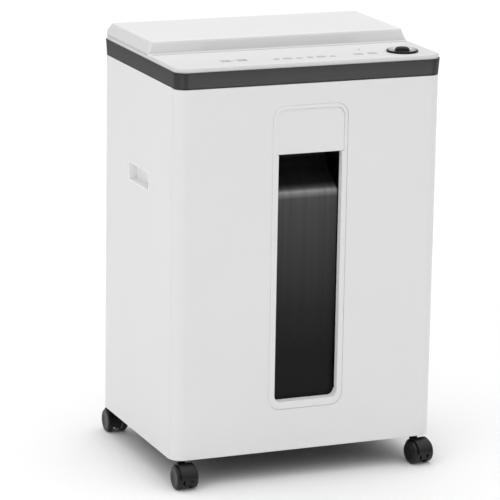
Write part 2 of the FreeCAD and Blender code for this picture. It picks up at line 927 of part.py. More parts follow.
# Outer plate over the gears, with the fixed pin of the compound gear.
gear_blank = box("gear_blank", ("plate_inner", "plate_inner + frame_plate"), ("-64", "62"), ("450", "550"))
bore_start = ("plate_inner - 1", "-cutter_rear", "head_height")
gear_bore = cylinder("gear_bore", bore_start, "x", bush_radius, "frame_plate + 2")
gear_flat = cut("gear_flat", gear_blank, [gear_bore])
pin_start = ("frame_inner", "compound_y", "head_height")
gear_pin = cylinder("gear_pin", pin_start, "x", "5", "plate_inner - frame_inner")
keep(fuse("gear_whole", [gear_flat, gear_pin]), "gear_plate")
spacers = []
spacer_start = "frame_inner + frame_plate"
spacer_length = "plate_inner - frame_inner - frame_plate"
for place, (y, z) in enumerate([("-58", "544"), ("-58", "456"), ("56", "456"), ("56", "544")]):
    spacers.append(cylinder("spacer_%d" % place, (spacer_start, y, z), "x", "4.5", spacer_length))
keep(group("spacers", spacers), "gear_spacers")

# Paper throat: two plates that guide the sheet from the slot to the cutters.
throat_front = box("throat_front", ("-116", "116"), ("-slot_front - 2", "-slot_front"), ("524", "583.9"))
throat_rear = box("throat_rear", ("-116", "116"), ("-slot_back", "-slot_back + 2"), ("524", "583.9"))
throat_ends = []
for sign in (-1, 1):
    low = "116" if sign > 0 else "-118"
    high = "118" if sign > 0 else "-116"
    thick = ("-slot_front - 2", "-slot_back + 2")
    throat_ends.append(box("throat_end_%d" % (sign + 1), (low, high), thick, ("524", "583.9")))
throat_all = fuse("throat_all", [throat_front, throat_rear] + throat_ends)
eye_front = cylinder("eye_front", ("0", "-slot_front - 3", "556"), "y", "2", "4")
eye_rear = cylinder("eye_rear", ("0", "-slot_back - 1", "556"), "y", "2", "4")
keep(cut("throat_cut", throat_all, [eye_front, eye_rear]), "feed_throat")
sensor_front = box("sensor_front", ("-5", "5"), ("-slot_front - 9", "-slot_front - 2"), ("551", "561"))
sensor_rear = box("sensor_rear", ("-5", "5"), ("-slot_back + 2", "-slot_back + 9"), ("551", "561"))
keep(group("sensors", [sensor_front, sensor_rear]), "paper_sensor")

# Stripper combs: a bar each, with a finger in every gap between the discs.
front_gaps = ["-(disc_count/2 - 1) * disc_pitch + %d * disc_pitch" % k for k in range(23)]
rear_gaps = ["-(disc_count/2 - 1.5) * disc_pitch + %d * disc_pitch" % k for k in range(22)]


def comb(label, bar_y, finger_y, gaps):
    parts = [box(label + "_bar", ("-frame_inner", "frame_inner"), bar_y, ("490", "510"))]
    for place, centre in enumerate(gaps):
        span = (centre + " - 2.1", centre + " + 2.1")
        parts.append(box("%s_finger_%d" % (label, place), span, finger_y, ("495", "505")))
    return keep(fuse(label + "_whole", parts), label)


comb("stripper_comb_front", ("-75", "-71"), ("-71.5", "-cutter_front - core_radius - 0.8"), front_gaps)
comb("stripper_comb_rear", ("7", "11"), ("-cutter_rear + core_radius + 0.8", "7.5"), rear_gaps)


def cutter(tag, centre_y, count, first, left_end, right_end):
    """A grooved roller core with its journals, and its toothed discs."""
    profile = [
        ("-(%s)" % left_end, "0"),
        (right_end, "0"),
        (right_end, "journal_radius"),
        ("117.5", "journal_radius"),
        ("117.5", "core_radius"),
        ("-117.5", "core_radius"),
        ("-117.5", "journal_radius"),
        ("-(%s)" % left_end, "journal_radius"),
    ]
    shaft = turned("shaft_" + tag, "XZ_Plane", profile, "H_Axis")
    move(shaft, "0", centre_y, "head_height")
    keep(shaft, "cutter_shaft_" + tag)
    outer = number("cutter_radius")
    inner = number("core_radius")
    thick = number("disc_thick")
    pitch = number("disc_pitch")
    discs = []
    for place in range(count):
        x = first + place * pitch - thick / 2
        twist = 13.0 * place
        corners = []
        for tooth in range(3):
            start = math.radians(120 * tooth + twist)
            for step in range(9):
                angle = start + math.radians(110) * step / 8
                corners.append(FreeCAD.Vector(x, outer * math.cos(angle), outer * math.sin(angle)))
            notch = start + math.radians(112)
            corners.append(FreeCAD.Vector(x, (outer - 3) * math.cos(notch), (outer - 3) * math.sin(notch)))
        corners.append(corners[0])
        face = Part.Face(Part.makePolygon(corners))
        blank = face.extrude(FreeCAD.Vector(thick, 0, 0))
        bore_start = FreeCAD.Vector(x - 1, 0, 0)
        bore = Part.makeCylinder(inner, thick + 2, bore_start, FreeCAD.Vector(1, 0, 0))
        discs.append(blank.cut(bore).Solids[0])
    stack = doc.addObject("Part::Feature", "discs_" + tag)
    stack.Shape = Part.makeCompound(discs)
    move(stack, "0", centre_y, "head_height")
    keep(stack, "cutter_discs_" + tag)


pitch_value = number("disc_pitch")
cutter("front", "-cutter_front", 24, -11.5 * pitch_value, "143", "126")
cutter("rear", "-cutter_rear", 23, -11.0 * pitch_value, "143", "plate_inner + frame_plate + 2")


def gear_outline(module, teeth, phase):
    """Corners of a spur gear with involute flanks, 25 degree pressure angle."""
    pressure = math.radians(25)
    pitch_radius = module * teeth / 2
    base_radius = pitch_radius * math.cos(pressure)
    tip = pitch_radius + module
    root = pitch_radius - 1.25 * module
    involute = math.tan(pressure) - pressure
    half_tooth = math.pi / (2 * teeth) - 0.03 / teeth + involute
    flank = []
    low = max(base_radius, root)
    for step in range(4):
        radius = low + (tip - low) * step / 3
        roll = math.acos(base_radius / radius)
        flank.append((radius, half_tooth - (math.tan(roll) - roll)))
    if root < base_radius:
        flank.insert(0, (root, flank[0][1]))
    corners = []
    for tooth in range(teeth):
        middle = 2 * math.pi * tooth / teeth + math.radians(phase)
        for radius, spread in flank:
            corners.append((radius, middle - spread))
        for radius, spread in reversed(flank):
            corners.append((radius, middle + spread))
    return corners


def toothed(module, teeth, phase, start, length):
    corners = []
    for radius, angle in gear_outline(module, teeth, phase):
        corners.append(FreeCAD.Vector(start, radius * math.cos(angle), radius * math.sin(angle)))
    corners.append(corners[0])
    face = Part.Face(Part.makePolygon(corners))
    return face.extrude(FreeCAD.Vector(length, 0, 0))


along_x = FreeCAD.Vector(1, 0, 0)


def bored(solid, radius, start, length):
    hole_shape = Part.makeCylinder(radius, length, FreeCAD.Vector(start, 0, 0), along_x)
    return solid.cut(hole_shape).Solids[0]


def gear_object(name, shape, y):
    item = doc.addObject("Part::Feature", name)
    item.Shape = shape
    move(item, "0", y, "head_height")
    return item


journal = number("journal_radius")
sync_front = bored(toothed(2, 17, 0, -140, 10), journal, -141, 12)
keep(gear_object("sync_front", sync_front, "-cutter_front"), "sync_gear_front")
sync_rear = bored(toothed(2, 17, 180 + 180 / 17, -140, 10), journal, -141, 12)
keep(gear_object("sync_rear", sync_rear, "-cutter_rear"), "sync_gear_rear")
drive = bored(toothed(1.5, 56, 0, 144, 11), journal, 143, 13)
keep(gear_object("drive", drive, "-cutter_rear"), "drive_gear")
wheel = toothed(1, 70, 0, 130, 9)
pinion = toothed(1.5, 14, 180 + 180 / 14, 138.9, 19)
pair = wheel.fuse(pinion)
pair = bored(pair, 5 + number("fit"), 129, 30)
keep(gear_object("compound", pair, "compound_y"), "compound_gear")

# ---------------------------------------------------------------- motor

stator = ring("stator", ("40", "motor_y", "head_height"), "x", "motor_radius", "rotor_radius + 0.6", "50")
keep(stator, "motor_stator")
coils = []
for place, start in enumerate(("24", "90")):
    coils.append(ring("coil_%d" % place, (start, "motor_y", "head_height"), "x", "37", "26", "16"))
keep(group("coils", coils), "motor_windings")


def bracket(name, closed, opened):
    """A cup that closes one end of the motor and holds a bush."""
    low = min(number(closed), number(opened))
    outward = number(closed) < number(opened)
    length = abs(number(closed) - number(opened))
    start = (str(low), "motor_y", "head_height")
    blank = cylinder(name + "_blank", start, "x", "motor_radius", length)
    inner_low = low + 4 if outward else low
    hollow_start = (str(inner_low - (0 if outward else 1)), "motor_y", "head_height")
    hollow_cup = cylinder(name + "_hollow", hollow_start, "x", "motor_radius - 3", length - 3)
    bore = cylinder(name + "_bore", (str(low - 1), "motor_y", "head_height"), "x", "9", "60")
    return cut(name, blank, [hollow_cup, bore])


left_bracket = bracket("bracket_left", "14", "40")
right_bracket = bracket("bracket_right", "frame_inner", "90")
keep(group("brackets", [left_bracket, right_bracket]), "motor_brackets")

rotor = ring("rotor", ("39", "motor_y", "head_height"), "x", "rotor_radius", "5", "52")
keep(rotor, "motor_rotor")
motor_shaft = Part.makeCylinder(5, 117, FreeCAD.Vector(8, 0, 0), along_x)
motor_pinion = toothed(1, 14, 180 + 180 / 14, 125, 15)
keep(gear_object("armature", motor_shaft.fuse(motor_pinion), "motor_y"), "motor_shaft")

bushes = []
for place, (x, y, radius, size) in enumerate([
    ("-frame_inner - frame_plate", "-cutter_front", "journal_radius", "frame_plate"),
    ("-frame_inner - frame_plate", "-cutter_rear", "journal_radius", "frame_plate"),
    ("frame_inner", "-cutter_front", "journal_radius", "frame_plate"),
    ("frame_inner", "-cutter_rear", "journal_radius", "frame_plate"),
    ("plate_inner", "-cutter_rear", "journal_radius", "frame_plate"),
    ("14", "motor_y", "5", "6"),
    ("frame_inner - 6", "motor_y", "5", "6"),
]):
    outer = "%s + %s" % (radius, "4" if radius == "5" else "3")
    bushes.append(ring("bush_%d" % place, (x, y, "head_height"), "x", outer, radius + " + fit", size))
keep(group("bushes", bushes), "shaft_bushes")

# ---------------------------------------------------------------- electrics

keep(cylinder("can", ("-60", "92", "deck_top"), "z", "17", "62"), "capacitor")
board = box("board", ("-182", "-180.4"), ("-65", "60"), ("deck_top + 8", "545"))
feet = []
for y in ("-60", "52"):
    name = "foot_a" if y == "-60" else "foot_b"
    feet.append(box(name, ("-184", "-178"), (y, y + " + 8"), ("deck_top", "deck_top + 8")))
keep(group("board_all", [board] + feet), "control_board")
loads = [
    ("relay", "20", "-45", "-25", "470", "486"),
    ("relay_b", "20", "-18", "2", "470", "486"),
    ("transformer", "28", "8", "44", "462", "500"),
    ("heat_sink", "18", "-50", "-10", "512", "520"),
    ("chip", "4", "0", "22", "520", "530"),
    ("fuse_tube", "8", "30", "50", "512", "518"),
]
parts_on_board = []
for name, rise, y_low, y_high, z_low, z_high in loads:
    parts_on_board.append(box(name, ("-180.4", "-180.4 + " + rise), (y_low, y_high), (z_low, z_high)))
keep(group("loads", parts_on_board), "board_parts")

wall_out = "body_depth/2"
socket_body = box("socket_body", ("-124", "-96"), (wall_out + " - 26", wall_out), ("460", "480"))
socket_flange = box("socket_flange", ("-133", "-87"), (wall_out, wall_out + " + 1.8"), ("456", "484"))
socket_all = fuse("socket_all", [socket_body, socket_flange])
cavity = (wall_out + " - 18", wall_out + " + 5")
socket_hollow = box("socket_hollow", ("-122", "-98"), cavity, ("461.8", "478.2"))
pins = []
for place, (x, z) in enumerate([(-117, 468), (-110, 472.5), (-103, 468)]):
    depth = (wall_out + " - 34", wall_out + " - 3")
    pins.append(box("pin_%d" % place, (x - 1, x + 1), depth, (z - 2, z + 2)))
keep(cut("socket_cut", socket_all, [socket_hollow] + pins), "inlet_socket")
keep(group("pin_set", pins), "inlet_pins")

housing_body = box("housing_body", ("-70.5", "-57.5"), (wall_out + " - 22", wall_out), ("460", "480"))
rim = (wall_out, wall_out + " + 1.8")
housing_flange = box("housing_flange", ("-72.5", "-55.5"), rim, ("457.5", "482.5"))
housing_all = fuse("housing_all", [housing_body, housing_flange])
cavity = (wall_out + " - 9", wall_out + " + 5")
housing_hollow = box("housing_hollow", ("-69", "-59"), cavity, ("461.2", "478.8"))
pivot_start = ("-70.2", wall_out + " - 0.5", "470")
pivot_hole = cylinder("pivot_hole", pivot_start, "x", "0.8 + fit", "12.4")
keep(cut("housing_cut", housing_all, [housing_hollow, pivot_hole]), "rocker_housing")
rocker_profile = [
    (wall_out + " - 3.6", "467.5"),
    (wall_out + " - 3.6", "472.5"),
    (wall_out + " + 0.6", "478.0"),
    (wall_out + " + 2.0", "477.4"),
    (wall_out + " + 2.6", "470"),
    (wall_out + " + 4.6", "463.0"),
    (wall_out + " + 3.4", "462.2"),
]
rocker = new_body("rocker_body")
rocker_sketch = outline(rocker, "rocker_side", "YZ_Plane", rocker_profile, "-68.7")
pad(rocker, rocker_sketch, "9.4")
pivot = cylinder("pivot", pivot_start, "x", "0.8", "12.4")
keep(fuse("rocker_pivoted", [rocker, pivot]), "main_rocker")

# Screws that hold the head to the deck and the cover to the cabinet.
head_screws = []
for place, (x, y) in enumerate([(-160, -74), (150, -74), (-140, 120), (150, 120), (0, 130), (60, -74)]):
    head_screws.append(cylinder("head_screw_%d" % place, (x, y, "deck_top"), "z", "4", "2.6"))
keep(group("head_screws_all", head_screws), "head_screws")

# ---------------------------------------------------------------- castors

def castor(tag, sx, sy, turn):
    """One twin-wheel castor; it trails along its own +X before it is turned."""
    # The hood: a web between the wheels, under a barrel-shaped cover that is open below.
    web_start = ("castor_trail", "-wheel_gap/2 + 2.2", "wheel_radius")
    web_disc = cylinder("web_disc_" + tag, web_start, "y", "wheel_radius + 1.6", "wheel_gap - 4.4")
    web_keep = box("web_keep_" + tag, ("-10", "29"), ("-20", "20"), ("7.5", "40"))
    web = common("web_" + tag, web_disc, web_keep)
    hood_start = ("castor_trail", "-hood_half", "wheel_radius")
    hood_blank = cylinder("hood_blank_" + tag, hood_start, "y", "hood_radius", "2 * hood_half")
    void_start = ("castor_trail", "-20", "wheel_radius")
    hood_void = cylinder("hood_void_" + tag, void_start, "y", "wheel_radius + 1.1", "40")
    hood_shell = cut("hood_shell_" + tag, hood_blank, [hood_void])
    hood_keep = box("hood_keep_" + tag, ("-10", "45"), ("-20", "20"), ("16.5", "40"))
    cover_part = common("cover_part_" + tag, hood_shell, hood_keep)
    head = cylinder("collar_" + tag, ("0", "0", "28"), "z", "5.8", "base_bottom - 28.4")
    hub = fuse("hub_" + tag, [web, cover_part, head])
    clear = cylinder("axle_hole_" + tag, void_start, "y", "3 + fit", "40")
    hollow = cut("hood_cut_" + tag, hub, [clear])
    stem = cylinder("stem_" + tag, ("0", "0", "34"), "z", "stem_radius", "base_bottom - 34 + 4")
    hood = fuse("hood_" + tag, [hollow, stem])
    doc.recompute()
    x = sx * number("castor_x")
    y = sy * number("castor_y")
    rotation = FreeCAD.Rotation(FreeCAD.Vector(0, 0, 1), turn)
    hood.Placement = FreeCAD.Placement(FreeCAD.Vector(x, y, 0), rotation)
    keep(hood, "castor_%s_hood" % tag)
    wheel_profile = [
        ("3", "wheel_gap/2"),
        ("6.5", "wheel_gap/2"),
        ("7.5", "wheel_gap/2 + 1.2"),
        ("wheel_radius - 0.8", "wheel_gap/2 + 0.2"),
        ("wheel_radius", "wheel_gap/2 + 1.2"),
        ("wheel_radius", "wheel_gap/2 + wheel_thick - 2"),
        ("wheel_radius - 1.6", "wheel_gap/2 + wheel_thick - 0.4"),
        ("12", "wheel_gap/2 + wheel_thick"),
        ("5", "wheel_gap/2 + wheel_thick - 1"),
        ("3", "wheel_gap/2 + wheel_thick - 1"),
    ]
    solids = []
    for sign in (-1, 1):
        profile = [(radius, "%d * (%s)" % (sign, place)) for radius, place in wheel_profile]
        tread = turned("tread_%s_%d" % (tag, sign + 1), "XZ_Plane", profile, "V_Axis")
        tread.Placement = FreeCAD.Placement(
            FreeCAD.Vector(number("castor_trail"), 0, number("wheel_radius")), turns["y"]
        )
        solids.append(tread)
    axle_start = ("castor_trail", "-wheel_gap/2 - wheel_thick + 1", "wheel_radius")
    axle = cylinder("axle_" + tag, axle_start, "y", "3", "wheel_gap + 2 * wheel_thick - 2")
    solids.append(axle)
    wheels = group("wheels_" + tag, solids)
    doc.recompute()
    wheels.Placement = FreeCAD.Placement(FreeCAD.Vector(x, y, 0), rotation)
    keep(wheels, "castor_%s_wheels" % tag)


castor("fl", -1, -1, -90)
castor("fr", 1, -1, -90 + number("castor_turn"))
castor("rl", -1, 1, 90)
castor("rr", 1, 1, 90 - number("castor_turn"))

# ---------------------------------------------------------------- check and write

doc.recompute()
for item in doc.Objects:
    for state in item.State:
        if state in ("Invalid", "Error"):
            raise ValueError("%s (%s): %s" % (item.Name, item.Label, state))
for item in pieces:
    if item.Shape.isNull() or not item.Shape.isValid():
        raise ValueError(item.Label + " has no valid shape")
    if not item.Shape.Solids:
        raise ValueError(item.Label + " has no solid")

os.makedirs("parts", exist_ok=True)
for item in pieces:
    item.Shape.exportStep("parts/%s.step" % item.Label)
    limits = item.Shape.BoundBox
    print(
        "%-22s %3d solid(s) %10.0f mm3  x %.1f %.1f  y %.1f %.1f  z %.1f %.1f"
        % (
            item.Label,
            len(item.Shape.Solids),
            item.Shape.Volume,
            limits.XMin,
            limits.XMax,
            limits.YMin,
            limits.YMax,
            limits.ZMin,
            limits.ZMax,
        )
    )
print(len(pieces), "nodes")
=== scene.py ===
import bpy
import bmesh
import json
import math
from mathutils import Matrix, Vector


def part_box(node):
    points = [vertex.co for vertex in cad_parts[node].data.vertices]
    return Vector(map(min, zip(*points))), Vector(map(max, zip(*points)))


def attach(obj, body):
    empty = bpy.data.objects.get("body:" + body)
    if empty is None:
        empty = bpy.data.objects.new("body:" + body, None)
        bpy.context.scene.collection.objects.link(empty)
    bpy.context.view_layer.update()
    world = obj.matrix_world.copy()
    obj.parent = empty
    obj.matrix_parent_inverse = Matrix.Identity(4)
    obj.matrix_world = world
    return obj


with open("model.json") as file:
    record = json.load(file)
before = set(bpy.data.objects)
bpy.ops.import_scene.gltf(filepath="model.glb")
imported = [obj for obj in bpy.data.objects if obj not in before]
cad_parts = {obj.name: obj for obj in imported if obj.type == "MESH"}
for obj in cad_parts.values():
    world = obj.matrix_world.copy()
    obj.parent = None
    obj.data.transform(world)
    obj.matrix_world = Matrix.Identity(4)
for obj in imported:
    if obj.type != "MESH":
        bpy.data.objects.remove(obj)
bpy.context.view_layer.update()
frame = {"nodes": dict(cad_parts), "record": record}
nodes = frame["nodes"]


# ---------------------------------------------------------------- camera, floor and light

# Places are in metres and angles in degrees.
CAMERA_PLACE = (-1.6188, -3.8736, 1.3289)
CAMERA_HEADING = -22.348
CAMERA_TILT = 13.898
CAMERA_ROLL = 0.959
CAMERA_LENS = 219.7
SENSOR_WIDTH = 36.0
VIEW_END = 50.0

LIGHT_TARGET = (0, 0, 0.3)
HORIZON_LIGHT = 0.03
ZENITH_LIGHT = 1.66

FLOOR_SIZE = 14
FLOOR_DROP = 0.0002
FLOOR_TONE = 0.92
FLOOR_ROUGH = 0.9


def make_camera():
    """A long lens off the front left corner, looking a little down."""
    data = bpy.data.cameras.new("camera")
    data.lens = CAMERA_LENS
    data.sensor_width = SENSOR_WIDTH
    data.clip_end = VIEW_END
    camera = bpy.data.objects.new("camera", data)
    bpy.context.scene.collection.objects.link(camera)
    heading = Matrix.Rotation(math.radians(CAMERA_HEADING), 4, "Z")
    tilt = Matrix.Rotation(math.radians(90 - CAMERA_TILT), 4, "X")
    roll = Matrix.Rotation(math.radians(CAMERA_ROLL), 4, "Z")
    camera.matrix_world = Matrix.Translation(CAMERA_PLACE) @ heading @ tilt @ roll
    bpy.context.scene.camera = camera


def area_light(name, place, side, power):
    """A square lamp that is aimed at the middle of the object."""
    data = bpy.data.lights.new(name, "AREA")
    data.shape = "SQUARE"
    data.size = side
    data.energy = power
    lamp = bpy.data.objects.new(name, data)
    bpy.context.scene.collection.objects.link(lamp)
    lamp.location = place
    aim = Vector(LIGHT_TARGET) - Vector(place)
    lamp.rotation_euler = aim.to_track_quat("-Z", "Y").to_euler()


def make_world():
    """A soft white room: bright overhead, darker towards the horizon."""
    world = bpy.data.worlds.new("world")
    bpy.context.scene.world = world
    world.use_nodes = True
    tree = world.node_tree
    background = tree.nodes["Background"]
    place = tree.nodes.new("ShaderNodeTexCoord")
    parts = tree.nodes.new("ShaderNodeSeparateXYZ")
    tree.links.new(place.outputs["Generated"], parts.inputs["Vector"])
    height = tree.nodes.new("ShaderNodeMapRange")
    height.inputs["To Min"].default_value = HORIZON_LIGHT
    height.inputs["To Max"].default_value = ZENITH_LIGHT
    tree.links.new(parts.outputs["Z"], height.inputs["Value"])
    tree.links.new(height.outputs["Result"], background.inputs["Strength"])
    background.inputs["Color"].default_value = (1, 1, 1, 1)


def make_floor():
    """A pale matt floor just under the wheels."""
    mesh = bpy.data.meshes.new("floor")
    shape = bmesh.new()
    bmesh.ops.create_grid(shape, x_segments=1, y_segments=1, size=FLOOR_SIZE)
    shape.to_mesh(mesh)
    shape.free()
    floor = bpy.data.objects.new("floor", mesh)
    bpy.context.scene.collection.objects.link(floor)
    floor.location = (0, 0, -FLOOR_DROP)
    surface = bpy.data.materials.new("floor")
    surface.use_nodes = True
    shader = surface.node_tree.nodes["Principled BSDF"]
    shader.inputs["Base Color"].default_value = (FLOOR_TONE, FLOOR_TONE, FLOOR_TONE, 1)
    shader.inputs["Roughness"].default_value = FLOOR_ROUGH
    shader.inputs["Specular IOR Level"].default_value = 0.0
    mesh.materials.append(surface)


bpy.context.scene.view_settings.view_transform = "Standard"
make_camera()
make_world()
make_floor()
area_light("key", place=(-3.2, -2.0, 2.4), side=2.2, power=15)
area_light("front", place=(1.4, -3.6, 1.9), side=2.0, power=0.5)


# ---------------------------------------------------------------- help with materials

BUMP_DISTANCE = 0.0002


def shade(value):
    """A grey level or a colour, as a colour with alpha."""
    if isinstance(value, (int, float)):
        return (value, value, value, 1)
    return (*value, 1)


class Graph:
    """A small helper round one material's nodes."""

    def __init__(self, name, shine=0.5, metal=0.0):
        self.material = bpy.data.materials.new(name)
        self.material.use_nodes = True
        self.tree = self.material.node_tree
        self.shader = self.tree.nodes["Principled BSDF"]
        self.shader.inputs["Specular IOR Level"].default_value = shine
        self.shader.inputs["Metallic"].default_value = metal
        self.place = self.add("ShaderNodeTexCoord").outputs["Object"]

    def add(self, kind, **settings):
        node = self.tree.nodes.new(kind)
        for key, value in settings.items():
            setattr(node, key, value)
        return node

    def link(self, output, socket):
        self.tree.links.new(output, socket)

    def stretched(self, scale):
        """The place on the object, stretched along its axes."""
        node = self.add("ShaderNodeMapping")
        node.inputs["Scale"].default_value = scale
        self.link(self.place, node.inputs["Vector"])
        return node.outputs["Vector"]

    def noise(self, scale, detail=3.0, rough=0.5, source=None):
        node = self.add("ShaderNodeTexNoise")
        node.inputs["Scale"].default_value = scale
        node.inputs["Detail"].default_value = detail
        node.inputs["Roughness"].default_value = rough
        self.link(source or self.place, node.inputs["Vector"])
        return node.outputs["Fac"]

    def ramp(self, source, stops):
        node = self.add("ShaderNodeValToRGB")
        band = node.color_ramp
        band.elements[0].position = stops[0][0]
        band.elements[0].color = shade(stops[0][1])
        band.elements[1].position = stops[-1][0]
        band.elements[1].color = shade(stops[-1][1])
        for spot, value in stops[1:-1]:
            element = band.elements.new(spot)
            element.color = shade(value)
        self.link(source, node.inputs["Fac"])
        return node.outputs["Color"]

    def drift(self, source, colour, vary):
        """One colour, darker where the pattern is low and lighter where it is high."""
        darker = [part * (1 - vary) for part in colour]
        lighter = [part * (1 + vary) for part in colour]
        return self.ramp(source, [(0.3, darker), (0.7, lighter)])

    def axis(self, source, name):
        node = self.add("ShaderNodeSeparateXYZ")
        self.link(source, node.inputs["Vector"])
        return node.outputs[name]

    def without_sign(self, source):
        node = self.add("ShaderNodeMath", operation="ABSOLUTE")
        self.link(source, node.inputs[0])
        return node.outputs["Value"]

    def above(self, source, limit):
        """1 where the source is above the limit, else 0."""
        node = self.add("ShaderNodeMath", operation="GREATER_THAN")
        node.inputs[1].default_value = limit
        self.link(source, node.inputs[0])
        return node.outputs["Value"]

    def facing(self, name):
        """How squarely a face looks along one axis, from 0 to 1."""
        normal = self.add("ShaderNodeTexCoord").outputs["Normal"]
        return self.without_sign(self.axis(normal, name))

    def level(self, low, high):
        """Height on the object, 0 at the low level and 1 at the high one."""
        node = self.add("ShaderNodeMapRange")
        node.inputs["From Min"].default_value = low
        node.inputs["From Max"].default_value = high
        self.link(self.axis(self.place, "Z"), node.inputs["Value"])
        return node.outputs["Result"]

    def multiply(self, first, second):
        node = self.add("ShaderNodeMix", data_type="RGBA", blend_type="MULTIPLY")
        node.inputs["Factor"].default_value = 1.0
        sockets = [socket for socket in node.inputs if socket.type == "RGBA"]
        self.link(first, sockets[0])
        self.link(second, sockets[1])
        return [socket for socket in node.outputs if socket.type == "RGBA"][0]

    def paint(self, colours, tone=None):
        """Sets the base colour, multiplied by a tone if there is one."""
        if tone:
            colours = self.multiply(colours, tone(self))
        self.link(colours, self.shader.inputs["Base Color"])

    def gloss(self, source, rough, spread):
        """Sets an uneven roughness round one value."""
        node = self.add("ShaderNodeMapRange")
        node.inputs["To Min"].default_value = rough - spread
        node.inputs["To Max"].default_value = rough + spread
        self.link(source, node.inputs["Value"])
        self.link(node.outputs["Result"], self.shader.inputs["Roughness"])

    def bump(self, source, strength):
        node = self.add("ShaderNodeBump")
        node.inputs["Strength"].default_value = strength
        node.inputs["Distance"].default_value = BUMP_DISTANCE
        self.link(source, node.inputs["Height"])
        self.link(node.outputs["Normal"], self.shader.inputs["Normal"])


def moulded(name, colour, rough, grain=900, depth=0.12, vary=0.03, shine=0.5, tone=None):
    """Moulded plastic: a faint colour drift, uneven gloss and a fine spark-eroded grain."""
    graph = Graph(name, shine=shine)
    graph.paint(graph.drift(graph.noise(scale=7, detail=4), colour, vary), tone)
    graph.gloss(graph.noise(scale=24, detail=5, rough=0.6), rough, spread=0.05)
    graph.bump(graph.noise(scale=grain, detail=2, rough=0.4), depth)
    return graph.material


def brushed(name, colour, rough, scale, metal=1.0, vary=0.12, depth=0.15, shine=0.5, tone=None):
    """Metal or foil with fine lines along one direction, or an even grain if the scales are equal."""
    graph = Graph(name, shine=shine, metal=metal)
    lines = graph.noise(scale=1.0, detail=6, rough=0.7, source=graph.stretched(scale))
    graph.paint(graph.drift(lines, colour, vary), tone)
    graph.gloss(lines, rough, spread=0.08)
    graph.bump(lines, depth)
    return graph.material


# ---------------------------------------------------------------- tones of single pieces, most of them painted light and shade

BAND_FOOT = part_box("trim_band")[0][2]
BAND_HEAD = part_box("trim_band")[1][2]
STRIP_LEVEL = BAND_HEAD + 0.006
STRIP_FADE = (STRIP_LEVEL + 0.0005, STRIP_LEVEL + 0.003)

# The window moulding: its height range, the half width of the pane, and its tone at each height. The tones
# grow lighter up the pane, then hold a painted highlight at the ridge and a painted reflection on the back
# of the finger hollow.
PANE_FOOT = 0.1085
HOLLOW_TOP = 0.5055
PANE_HALF = 0.0466
SMOKE_AND_PAINTED_LIGHT_TONES = [
    (0.110, 0.001),
    (0.180, 0.002),
    (0.240, 0.012),
    (0.300, 0.030),
    (0.380, 0.055),
    (0.396, 0.065),
    # Painted highlight along the rounded ridge above the pane.
    (0.4015, 0.19),
    (0.405, 0.31),
    (0.4085, 0.08),
    (0.413, 0.014),
    (0.444, 0.010),
    # Painted reflection on the back wall of the finger hollow, up to its top.
    (0.452, 0.08),
    (0.500, 0.50),
]


def cover_painted_shade(graph):
    """Painted shade on the slopes of the raised part, set by how steeply they face; the control strip is
    painted a shade greyer than the flat top.
    """
    # Painted shade where the cover slopes.
    painted_slope_shade = graph.ramp(graph.facing("Z"), [(0.30, 1.0), (0.45, 0.90), (0.86, 0.90), (0.97, 1.0)])
    strip = graph.ramp(graph.level(*STRIP_FADE), [(0.0, 0.90), (1.0, 1.0)])
    return graph.multiply(painted_slope_shade, strip)


def band_painted_shade(graph):
    """Painted shade on the band: darker at its foot and its top edge and round its corners, each next to a
    painted lighter streak.
    """
    # Painted shade at the foot and the top edge, with a painted lighter streak above the foot.
    upright = graph.ramp(
        graph.level(BAND_FOOT, BAND_HEAD),
        [(0.0, 0.45), (0.05, 0.60), (0.08, 1.06), (0.5, 1.02), (0.9, 0.86), (1.0, 0.80)],
    )
    # Painted shade round the corners, with a painted highlight streak between.
    corner = graph.ramp(
        graph.facing("X"),
        [(0.02, 1.04), (0.18, 0.62), (0.30, 0.60), (0.50, 0.90), (0.72, 0.72), (0.90, 0.62), (0.99, 0.80)],
    )
    return graph.multiply(upright, corner)


def frame_painted_light(graph):
    """Painted light on the reveals of the window frame, which makes them lighter than its face."""
    return graph.ramp(graph.facing("Y"), [(0.1, 1.22), (0.5, 1.0)])


def button_painted_highlight(graph):
    """A painted highlight on the crown of the button, which makes it lighter than its sides."""
    return graph.ramp(graph.facing("Z"), [(0.975, 1.0), (0.996, 20.0)])


def cup_painted_shade(graph):
    """Painted shade on the ledge of the carry grip, so that it is no lighter than the back of the cup."""
    return graph.ramp(graph.facing("Z"), [(0.3, 1.0), (0.7, 0.84)])


def smoked():
    """Smoked window moulding: a tone that follows the height, with a painted highlight on the ridge and a
    painted reflection in the finger hollow, painted shade on the cheeks, and faint upright streaks.
    """
    graph = Graph("smoked", shine=0.17)
    stops = [((height - PANE_FOOT) / (HOLLOW_TOP - PANE_FOOT), tone) for height, tone in SMOKE_AND_PAINTED_LIGHT_TONES]
    smoke_and_painted_light = graph.ramp(graph.level(PANE_FOOT, HOLLOW_TOP), stops)
    off_middle = graph.without_sign(graph.axis(graph.place, "X"))
    # Painted shade on the side walls beyond the pane.
    cheeks = graph.ramp(graph.above(off_middle, PANE_HALF), [(0.0, 1.0), (1.0, 0.12)])
    lines = graph.noise(scale=1.0, detail=4, rough=0.6, source=graph.stretched((190, 3, 2)))
    streaks = graph.drift(lines, (1.0, 1.0, 1.0), vary=0.16)
    graph.paint(graph.multiply(graph.multiply(smoke_and_painted_light, cheeks), streaks))
    graph.gloss(graph.noise(scale=40, detail=4), rough=0.25, spread=0.05)
    graph.bump(lines, 0.03)
    return graph.material


